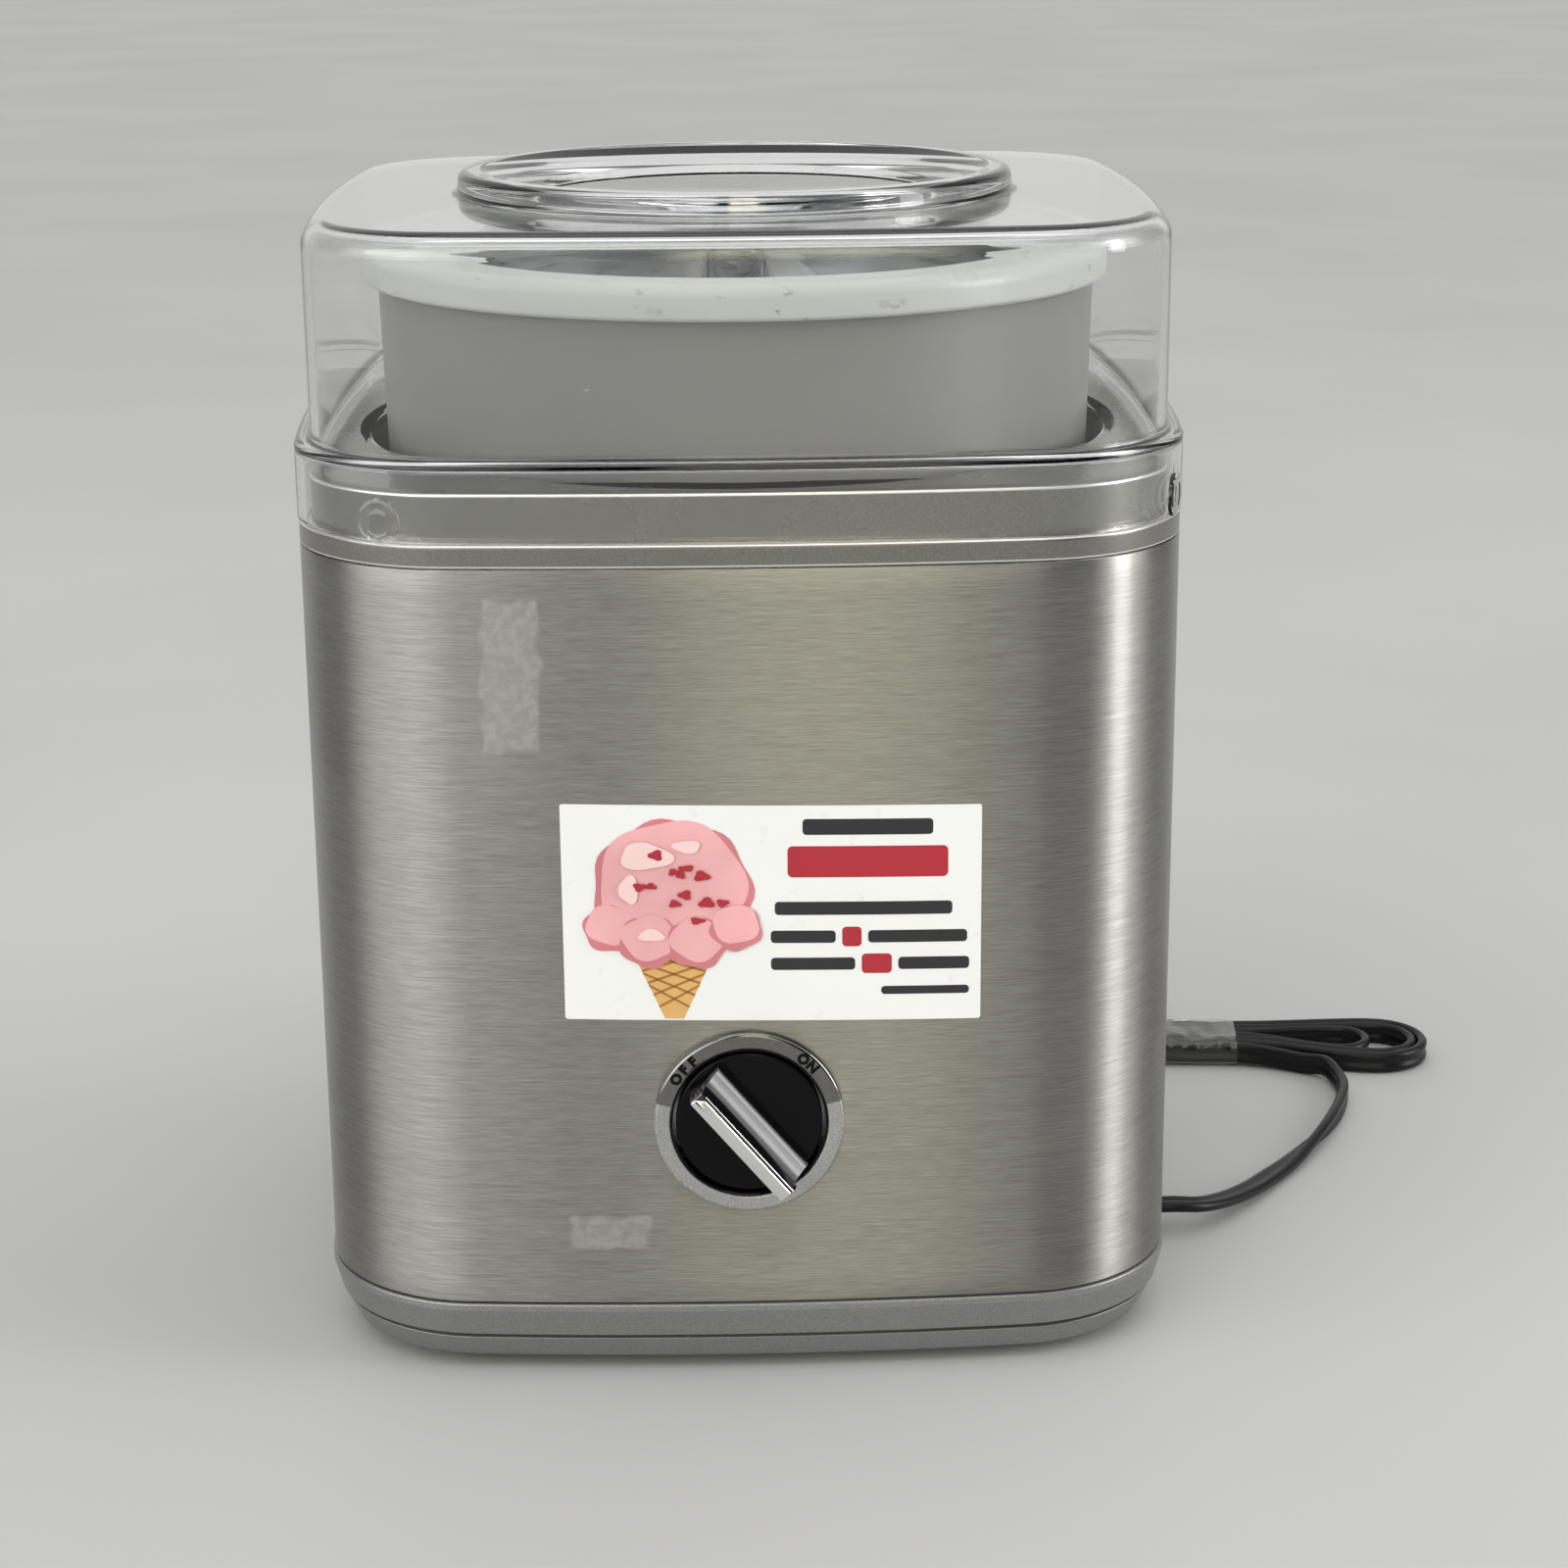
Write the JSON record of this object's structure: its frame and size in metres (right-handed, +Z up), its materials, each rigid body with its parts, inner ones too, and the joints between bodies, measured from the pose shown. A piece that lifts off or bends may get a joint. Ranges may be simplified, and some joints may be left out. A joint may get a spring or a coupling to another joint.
{
  "type": "ice cream maker",
  "caption": "Countertop ice cream maker: a freezer bowl turns in a steel-wrapped base under a clear lid with a pouring ring, switched by a front dial; the cord is tied in a hank.",
  "frame": {"origin": "on the ground, at the centre of the bottom of the box round the machine without its cord", "axes": "+Z up; the dial faces -Y; +X is to the right of someone facing the dial, the side where the cord leaves"},
  "size_m": [0.3133, 0.2428, 0.278],
  "materials": {
    "silver_plastic": "moulded plastic in satin metallic silver paint",
    "brushed_steel": "horizontally brushed stainless steel sheet",
    "clear_plastic": "clear polished plastic",
    "white_plastic": "pale satin plastic",
    "grey_plastic": "mid-grey satin plastic",
    "black_gloss": "gloss black plastic",
    "black_rubber": "black flexible plastic",
    "aluminium": "drawn aluminium",
    "bright_metal": "bright plated steel",
    "laminated_iron": "stacked electrical steel",
    "copper_coil": "varnished copper winding",
    "acetal": "natural acetal",
    "brass": "turned brass",
    "coolant": "freezing gel sealed in the wall"
  },
  "bodies": {
    "base": {"base_screw_left_back": "bright_metal", "base_screw_left_front": "bright_metal", "base_screw_right_back": "bright_metal", "base_screw_right_front": "bright_metal", "bottom_cover": "silver_plastic", "bowl_well": "grey_plastic", "cord_hank": "black_rubber", "dial_ring": "silver_plastic", "foot_left_back": "black_rubber", "foot_left_front": "black_rubber", "foot_right_back": "black_rubber", "foot_right_front": "black_rubber", "gearbox_cover": "grey_plastic", "gearbox_housing": "grey_plastic", "gearbox_screw_1": "bright_metal", "gearbox_screw_2": "bright_metal", "gearbox_screw_3": "bright_metal", "hank_tape": "clear_plastic", "intermediate_pin": "bright_metal", "motor_coil": "copper_coil", "motor_core": "laminated_iron", "motor_lead": "black_rubber", "motor_strap_lower": "bright_metal", "motor_strap_upper": "bright_metal", "plug_blade_back": "brass", "plug_blade_front": "brass", "power_cord": "black_rubber", "power_plug": "black_rubber", "rotary_switch": "black_gloss", "shaft_bush_lower": "brass", "shaft_bush_upper": "brass", "steel_wrap": "brushed_steel", "strain_relief": "black_rubber", "supply_lead": "black_rubber", "switch_bracket": "bright_metal", "top_collar": "silver_plastic"},
    "bowl_drive": {"output_gear": "acetal", "drive_shaft": "bright_metal", "drive_hub": "acetal"},
    "gear_train": {"intermediate_gear": "acetal"},
    "motor_spindle": {"motor_pinion": "brass", "motor_shaft": "bright_metal", "motor_rotor": "aluminium"},
    "bowl": {"bowl_shell": "grey_plastic", "bowl_coolant": "coolant", "bowl_liner": "aluminium", "bowl_rim": "white_plastic"},
    "paddle": {"mixing_paddle": "clear_plastic"},
    "lid": {"clear_lid": "clear_plastic"},
    "knob": {"knob_dial": "black_gloss", "knob_strip": "bright_metal", "knob_shaft": "bright_metal"}
  },
  "joints": [
    {"name": "bowl_spin", "type": "hinge", "parent": "base", "child": "bowl_drive", "pos_m": [0, 0.007, 0.1], "axis": [0, 0, 1], "continuous": true},
    {"name": "gear_spin", "type": "hinge", "parent": "base", "child": "gear_train", "pos_m": [-0.03031, 0.0245, 0.076], "axis": [0, 0, 1], "continuous": true},
    {"name": "motor_spin", "type": "hinge", "parent": "base", "child": "motor_spindle", "pos_m": [-0.05456, 0.0385, 0.035], "axis": [0, 0, 1], "continuous": true},
    {"name": "lid_lift", "type": "slide", "parent": "base", "child": "lid", "axis": [0, 0, 1], "range_m": [0, 0.34]},
    {"name": "paddle_lift", "type": "slide", "parent": "base", "child": "paddle", "axis": [0, 0, 1], "range_m": [0, 0.272]},
    {"name": "bowl_lift", "type": "slide", "parent": "bowl_drive", "child": "bowl", "axis": [0, 0, 1], "range_m": [0, 0.1292]},
    {"name": "knob_turn", "type": "hinge", "parent": "base", "child": "knob", "pos_m": [0, -0.0941, 0.0668], "axis": [0, 1, 0], "range_deg": [0, 90]}
  ],
  "couplings": [
    {"joint": "gear_spin", "follows": "bowl_spin", "ratio": -6},
    {"joint": "motor_spin", "follows": "bowl_spin", "ratio": 36},
    {"joint": "paddle_lift", "follows": "lid_lift", "ratio": 0.8},
    {"joint": "bowl_lift", "follows": "lid_lift", "ratio": 0.38}
  ]
}
